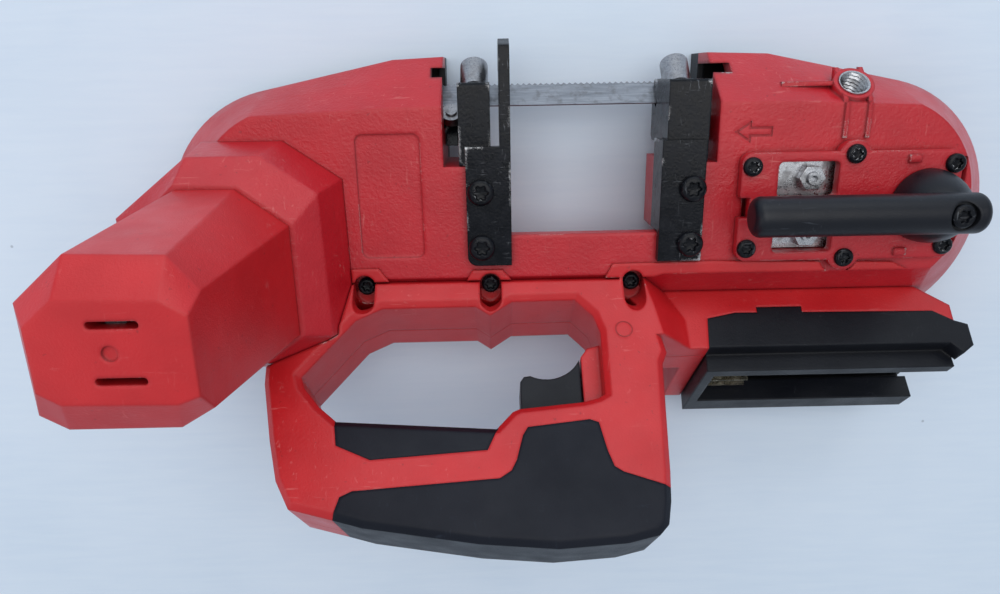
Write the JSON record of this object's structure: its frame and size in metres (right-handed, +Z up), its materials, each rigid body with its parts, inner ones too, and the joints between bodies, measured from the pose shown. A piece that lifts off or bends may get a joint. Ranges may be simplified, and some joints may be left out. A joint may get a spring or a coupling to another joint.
{
  "type": "portable band saw",
  "caption": "Cordless portable band saw with a loop handle set at an angle to its wheel housings, blade guides, tension lever and battery slide rail, no battery fitted.",
  "frame": {"origin": "middle of the outline, on the plane of the wheel cover's back face", "axes": "+X along the body from the motor end to the blade-tension end, +Y from the handle toward the blade, +Z up from the wheel cover along the motor's axis"},
  "size_m": [0.3708, 0.202, 0.1585],
  "materials": {
    "red_casting": "red enamel over a die casting",
    "red_plastic": "finely textured red glass-filled nylon",
    "soft_grip": "soft-touch black overmould",
    "black_plastic": "moulded black nylon",
    "black_steel": "black oxide and paint, worn at the edges",
    "steel": "turned or ground steel",
    "plated_steel": "zinc plated",
    "blade_steel": "rolled steel band",
    "tyre_rubber": "rubber band on the wheel rim",
    "wheel_alloy": "machined alloy",
    "gear_steel": "cut and hardened steel",
    "motor_iron": "stacked laminations",
    "contact_brass": "plated contact blades",
    "circuit": "coated circuit board"
  },
  "bodies": {
    "frame": {"back_cover": "black_plastic", "back_cover_screws": "plated_steel", "battery_contacts": "contact_brass", "battery_rail": "black_plastic", "control_board": "circuit", "front_housing": "red_casting", "gearbox_base": "red_casting", "gearbox_cover": "red_casting", "guide_screws": "black_steel", "handle_screws": "black_steel", "handle_shell_far": "red_plastic", "handle_shell_near": "red_plastic", "layshaft_bushes": "contact_brass", "left_guide_block": "black_steel", "left_guide_pins": "steel", "lower_grip": "soft_grip", "motor_bearing_front": "steel", "motor_bearing_rear": "steel", "motor_housing": "red_plastic", "motor_stator": "motor_iron", "right_guide_block": "black_steel", "right_guide_bracket": "black_steel", "right_guide_pins": "steel", "saw_blade": "blade_steel", "side_handle_insert": "plated_steel", "spindle_bearing_lower": "steel", "spindle_bearing_upper": "steel", "switch_module": "black_plastic", "tension_cover": "red_casting", "tension_cover_screws": "black_steel", "upper_grip": "soft_grip", "work_stop": "black_steel"},
    "drive": {"drive_wheel": "wheel_alloy", "drive_tyre": "tyre_rubber", "output_spindle": "steel", "output_gear": "gear_steel"},
    "layshaft_unit": {"layshaft": "gear_steel", "layshaft_gear": "gear_steel"},
    "rotor": {"motor_shaft": "steel", "motor_rotor": "motor_iron", "cooling_fan": "black_plastic"},
    "slider": {"tension_slider": "plated_steel", "idler_axle": "steel", "tracking_screws": "plated_steel", "tracking_nuts": "plated_steel"},
    "idler": {"idler_wheel": "wheel_alloy", "idler_tyre": "tyre_rubber", "idler_bearing": "steel"},
    "lever": {"tension_lever": "black_steel", "tension_shaft": "steel", "tension_cam": "gear_steel", "lever_bolt": "black_steel"},
    "trigger_body": {"trigger": "black_plastic", "trigger_spring": "steel"},
    "left_near_roller_body": {"left_near_roller": "steel"},
    "left_far_roller_body": {"left_far_roller": "steel"},
    "left_thrust_bearing_body": {"left_thrust_bearing": "steel"},
    "right_near_roller_body": {"right_near_roller": "steel"},
    "right_far_roller_body": {"right_far_roller": "steel"},
    "right_thrust_bearing_body": {"right_thrust_bearing": "steel"}
  },
  "joints": [
    {"name": "drive_wheel_spin", "type": "hinge", "parent": "frame", "child": "drive", "pos_m": [-0.11765, 0.03454, 0.021], "axis": [0, 0, 1], "continuous": true},
    {"name": "layshaft_spin", "type": "hinge", "parent": "frame", "child": "layshaft_unit", "pos_m": [-0.13758, 0.03096, 0.06], "axis": [0, 0, 1], "continuous": true},
    {"name": "motor_spin", "type": "hinge", "parent": "frame", "child": "rotor", "pos_m": [-0.1439, 0.01454, 0.11], "axis": [0, 0, 1], "continuous": true},
    {"name": "tension_lever_swing", "type": "hinge", "parent": "frame", "child": "lever", "pos_m": [0.1431, 0.03304, 0.074], "axis": [0, 0, 1], "range_deg": [-180, 0]},
    {"name": "tension_slide", "type": "slide", "parent": "frame", "child": "slider", "axis": [1, 0, 0], "range_m": [-0.006, 0]},
    {"name": "idler_wheel_spin", "type": "hinge", "parent": "slider", "child": "idler", "pos_m": [0.12385, 0.03454, 0.021], "axis": [0, 0, 1], "continuous": true},
    {"name": "trigger_pull", "type": "slide", "parent": "frame", "child": "trigger_body", "axis": [0, -0.7071, 0.7071], "range_m": [0, 0.006], "stiffness_N_per_m": 500, "springref_m": -0.004},
    {"name": "left_near_roller_spin", "type": "hinge", "parent": "frame", "child": "left_near_roller_body", "pos_m": [-0.0424, 0.08572, 0.02355], "axis": [0, 0.7071, -0.7071], "continuous": true},
    {"name": "left_far_roller_spin", "type": "hinge", "parent": "frame", "child": "left_far_roller_body", "pos_m": [-0.0424, 0.07639, 0.01421], "axis": [0, 0.7071, -0.7071], "continuous": true},
    {"name": "left_thrust_bearing_spin", "type": "hinge", "parent": "frame", "child": "left_thrust_bearing_body", "pos_m": [-0.0524, 0.07105, 0.02888], "axis": [0, 0.7071, 0.7071], "continuous": true},
    {"name": "right_near_roller_spin", "type": "hinge", "parent": "frame", "child": "right_near_roller_body", "pos_m": [0.0446, 0.08572, 0.02355], "axis": [0, 0.7071, -0.7071], "continuous": true},
    {"name": "right_far_roller_spin", "type": "hinge", "parent": "frame", "child": "right_far_roller_body", "pos_m": [0.0446, 0.07639, 0.01421], "axis": [0, 0.7071, -0.7071], "continuous": true},
    {"name": "right_thrust_bearing_spin", "type": "hinge", "parent": "frame", "child": "right_thrust_bearing_body", "pos_m": [0.0541, 0.07105, 0.02888], "axis": [0, 0.7071, 0.7071], "continuous": true}
  ],
  "couplings": [
    {"joint": "layshaft_spin", "follows": "drive_wheel_spin", "ratio": -4},
    {"joint": "motor_spin", "follows": "drive_wheel_spin", "ratio": 18},
    {"joint": "idler_wheel_spin", "follows": "drive_wheel_spin", "ratio": 1},
    {"joint": "tension_slide", "follows": "tension_lever_swing", "m_per_rad": 0.0019098},
    {"joint": "left_near_roller_spin", "follows": "drive_wheel_spin", "ratio": 6.7167},
    {"joint": "left_far_roller_spin", "follows": "drive_wheel_spin", "ratio": -6.7167},
    {"joint": "left_thrust_bearing_spin", "follows": "drive_wheel_spin", "ratio": 8.9556},
    {"joint": "right_near_roller_spin", "follows": "drive_wheel_spin", "ratio": 6.7167},
    {"joint": "right_far_roller_spin", "follows": "drive_wheel_spin", "ratio": -6.7167},
    {"joint": "right_thrust_bearing_spin", "follows": "drive_wheel_spin", "ratio": 8.9556}
  ]
}
